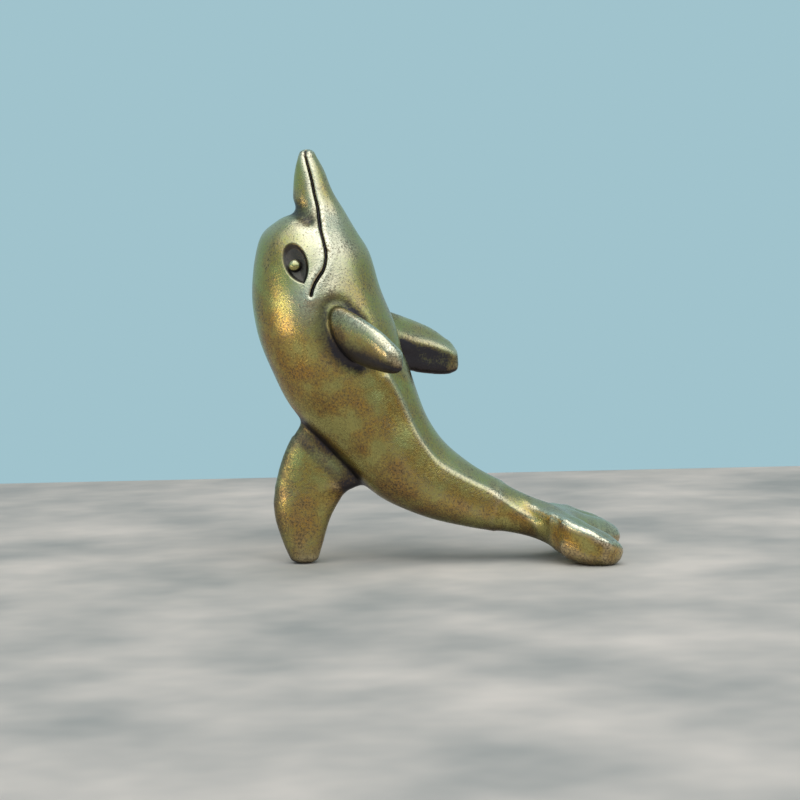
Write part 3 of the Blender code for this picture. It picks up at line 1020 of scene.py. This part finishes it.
# MID and RUSSET are the brass's own tones and SPECK its grain; PALE is worn brass and painted
# highlight, DARK is patina and painted shade
MID = (0.450, 0.405, 0.145, 1)
RUSSET = (0.490, 0.280, 0.060, 1)
PALE = (0.87, 0.77, 0.58, 1)
SPECK = (0.11, 0.075, 0.030, 1)
DARK = (0.056, 0.049, 0.054, 1)
STAIN_AND_SHADE, PIT_SHADE = 0.85, 0.55  # how strongly seams and the crease are stained and painted with shade, and pits stained
ROUGH, ROUGH_RUBBED, ROUGH_PATINA, ROUGH_GRAIN = 0.25, -0.05, 0.14, 0.16
RELIEF, RELIEF_HEIGHT = 0.45, 0.022 * MM

brass = bpy.data.materials.new("antique_brass")
brass.use_nodes = True
tree = brass.node_tree
shader = tree.nodes["Principled BSDF"]
shader.inputs["Metallic"].default_value = 1.0


def stored(name):
    """The output of an Attribute node that reads a value kept with the mesh."""
    return add(tree, "ShaderNodeAttribute", attribute_name=name).outputs["Fac"]


texture = grained(tree, *BRASS_GRAIN)
# fine and slow grain, both around 0, which shift every border
jitter = calc(tree, "MULTIPLY_ADD", texture["Specks"], 0.5, -0.25)
slow = calc(tree, "MULTIPLY_ADD", texture["Blotches"], 0.30, -0.15)
# patina and painted shade add up from hollows, seams and the crease, painted shade from
# undersides, and both are nearly full in cuts
shade = remap(tree, stored("hollow"), 0.12, 0.60)
for name in ("seam", "crease"):
    shade = calc(tree, "MULTIPLY_ADD", stored(name), STAIN_AND_SHADE, shade)
shade = calc(tree, "ADD", shade, remap(tree, stored("upward"), 0.05, -0.80, 0.0, 0.50))
shade = calc(tree, "ADD", shade, calc(tree, "MULTIPLY_ADD", jitter, 0.6, slow))
cuts = calc(tree, "MAXIMUM", stored("cut"), calc(tree, "MULTIPLY", stored("eye"), 0.90))
patina_and_shade = calc(tree, "MAXIMUM", remap(tree, shade, 0.10, 0.95), remap(tree, cuts, 0.25, 0.95))
patina_and_shade = calc(tree, "MAXIMUM", patina_and_shade, calc(tree, "MULTIPLY", texture["Pits"], PIT_SHADE))

# wear adds up from ridges and the face, painted highlight from the face and whatever faces up;
# both are lost under the patina and painted shade
wear_and_highlight = calc(tree, "MULTIPLY_ADD", stored("handled_and_highlit"), 0.75, stored("ridge"))
wear_and_highlight = calc(tree, "ADD", wear_and_highlight, remap(tree, stored("upward"), 0.05, 0.65, 0.0, 0.28))
wear_and_highlight = calc(tree, "ADD", wear_and_highlight, calc(tree, "MULTIPLY_ADD", jitter, 0.8, slow))
wear_and_highlight = remap(tree, wear_and_highlight, 0.10, 0.90)
bare = calc(tree, "SUBTRACT", 1.0, patina_and_shade, clamp=True)
wear_and_highlight = calc(tree, "MULTIPLY", wear_and_highlight, bare, clamp=True)

base = blend_colour(tree, remap(tree, texture["Blotches"], 0.2, 0.9), MID, RUSSET)
base = blend_colour(tree, calc(tree, "MULTIPLY", wear_and_highlight, 0.9), base, PALE)
patchy = remap(tree, texture["Blotches"], 0.1, 0.9, 0.28, 0.85)
speckled = calc(tree, "MULTIPLY", remap(tree, texture["Specks"], 0.30, 0.90), patchy)
base = blend_colour(tree, speckled, base, SPECK)
base = blend_colour(tree, patina_and_shade, base, DARK)
tree.links.new(base, shader.inputs["Base Color"])

rough = calc(tree, "MULTIPLY_ADD", wear_and_highlight, ROUGH_RUBBED, ROUGH)
rough = calc(tree, "MULTIPLY_ADD", patina_and_shade, ROUGH_PATINA, rough)
rough = calc(tree, "MULTIPLY_ADD", jitter, ROUGH_GRAIN, rough)
tree.links.new(rough, shader.inputs["Roughness"])

relief = calc(tree, "MULTIPLY_ADD", texture["Pits"], -1.0, texture["Specks"])
bump = add(tree, "ShaderNodeBump")
bump.inputs["Strength"].default_value = RELIEF
bump.inputs["Distance"].default_value = RELIEF_HEIGHT
tree.links.new(relief, bump.inputs["Height"])
tree.links.new(bump.outputs["Normal"], shader.inputs["Normal"])
data.materials.clear()
data.materials.append(brass)
print("brass:", len(tree.nodes), "nodes")

# %% [markdown]
# ## The stage
#
# The casting stands on a slab of pale stone, in front of a plain pale blue-grey backdrop, which is
# the world's colour as the camera and the metal see it. Polished metal shows whatever stands
# opposite it, so what surrounds it matters more than how strong a lamp is: a small hard lamp
# would only make a dot. Big soft lamps stand side by side in front and overhead like a tent, a
# small warm one leans on the table at the left, and a dim card stands in for the dark room low
# down in front.

# %% The slab
SLAB_MIDDLE, SLAB_SIZE = (0, -0.061, -0.01), (0.9, 0.278, 0.02)
STONE_GRAIN = (1.2, 0.06)
STONE_DARK, STONE_PALE = (0.45, 0.465, 0.445, 1), (0.88, 0.830, 0.76, 1)

scene = bpy.context.scene
scene.view_settings.view_transform = "Standard"

slab_mesh = bmesh.new()
slab_place = Matrix.Translation(SLAB_MIDDLE) @ Matrix.Diagonal((*SLAB_SIZE, 1))
bmesh.ops.create_cube(slab_mesh, size=1, matrix=slab_place)
slab_data = bpy.data.meshes.new("slab")
slab_mesh.to_mesh(slab_data)
slab_mesh.free()
slab = bpy.data.objects.new("slab", slab_data)
scene.collection.objects.link(slab)

stone = bpy.data.materials.new("pale_stone")
stone.use_nodes = True
stone_tree = stone.node_tree
stone_shader = stone_tree.nodes["Principled BSDF"]
clouds = grained(stone_tree, *STONE_GRAIN)["Blotches"]
stone_colour = blend_colour(stone_tree, clouds, STONE_DARK, STONE_PALE)
stone_tree.links.new(stone_colour, stone_shader.inputs["Base Color"])
stone_shader.inputs["Roughness"].default_value = 0.8
slab_data.materials.append(stone)
print("slab:", [round(v / MM) for v in slab.dimensions], "mm")

# %% The backdrop, the card and the lamps
BACKDROP = (0.352, 0.546, 0.61, 1)
ROOM = (0.14, 0.14, 0.135, 1)  # what lights the slab from where no lamp stands

world = bpy.data.worlds.new("backdrop")
scene.world = world
world.use_nodes = True
air = world.node_tree
path = add(air, "ShaderNodeLightPath")
seen = calc(air, "MAXIMUM", path.outputs["Is Camera Ray"], path.outputs["Is Glossy Ray"])
seen = calc(air, "MAXIMUM", seen, path.outputs["Is Transmission Ray"])
air.links.new(blend_colour(air, seen, ROOM, BACKDROP), air.nodes["Background"].inputs["Color"])


def standing(azimuth, elevation, distance):
    """A placement this far round the dolphin, above it and away from it, that faces it."""
    away = direction(azimuth, elevation)
    turned = away.to_track_quat("Z", "Y").to_matrix().to_4x4()
    return Matrix.Translation(TARGET + away * distance) @ turned


def card(name, place, size, colour):
    """A flat card that the metal mirrors and the camera doesn't see."""
    mesh = bmesh.new()
    laid = place @ Matrix.Diagonal((*size, 1, 1))
    bmesh.ops.create_grid(mesh, x_segments=1, y_segments=1, size=0.5, matrix=laid)
    made_data = bpy.data.meshes.new(name)
    mesh.to_mesh(made_data)
    mesh.free()
    made = bpy.data.objects.new(name, made_data)
    scene.collection.objects.link(made)
    made.visible_camera = False
    made.visible_shadow = False
    made.visible_diffuse = False
    paint = bpy.data.materials.new(name)
    paint.use_nodes = True
    paint_shader = paint.node_tree.nodes["Principled BSDF"]
    paint_shader.inputs["Base Color"].default_value = (0, 0, 0, 1)
    paint_shader.inputs["Emission Color"].default_value = colour
    paint_shader.inputs["Emission Strength"].default_value = 1.0
    made_data.materials.append(paint)


def softbox(name, place, size, brightness, colour):
    """A lamp with a flat front, this wide and high. At a brightness of 1 its front is white."""
    light = bpy.data.lights.new(name, "AREA")
    light.shape = "RECTANGLE"
    light.size, light.size_y = size
    light.energy, light.color = brightness * math.pi * size[0] * size[1], colour
    made = bpy.data.objects.new(name, light)
    made.matrix_world = place
    scene.collection.objects.link(made)
    return made


DAYLIGHT, WARM = (0.96, 0.975, 1.0), (1.0, 0.84, 0.60)
TENT = (
    # name, degrees round and above, width, height, brightness
    ("front_left", -46, 46, 0.66, 0.66, 0.66),
    ("front", 0, 42, 0.76, 0.70, 0.94),
    ("front_right", 54, 38, 0.84, 0.70, 0.86),
    ("overhead", 0, 88, 0.66, 0.60, 1.40),
)
TENT_DISTANCE = 0.80
WARM_SLANT, WARM_SPREAD = -30, 70  # degrees

card("dim_room", standing(20, 0, 0.60), (1.30, 0.20), (0.26, 0.26, 0.24, 1))
for name, azimuth, elevation, width, height, brightness in TENT:
    place = standing(azimuth, elevation, TENT_DISTANCE)
    softbox(name, place, (width, height), brightness, DAYLIGHT)
place = standing(-61, -4, 0.16) @ Matrix.Rotation(math.radians(WARM_SLANT), 4, "Z")
warm_side = softbox("warm_side", place, (0.074, 0.024), 0.76, WARM)
# a narrow spread keeps its light off the table, and makes it brighter straight ahead
warm_side.data.spread = math.radians(WARM_SPREAD)
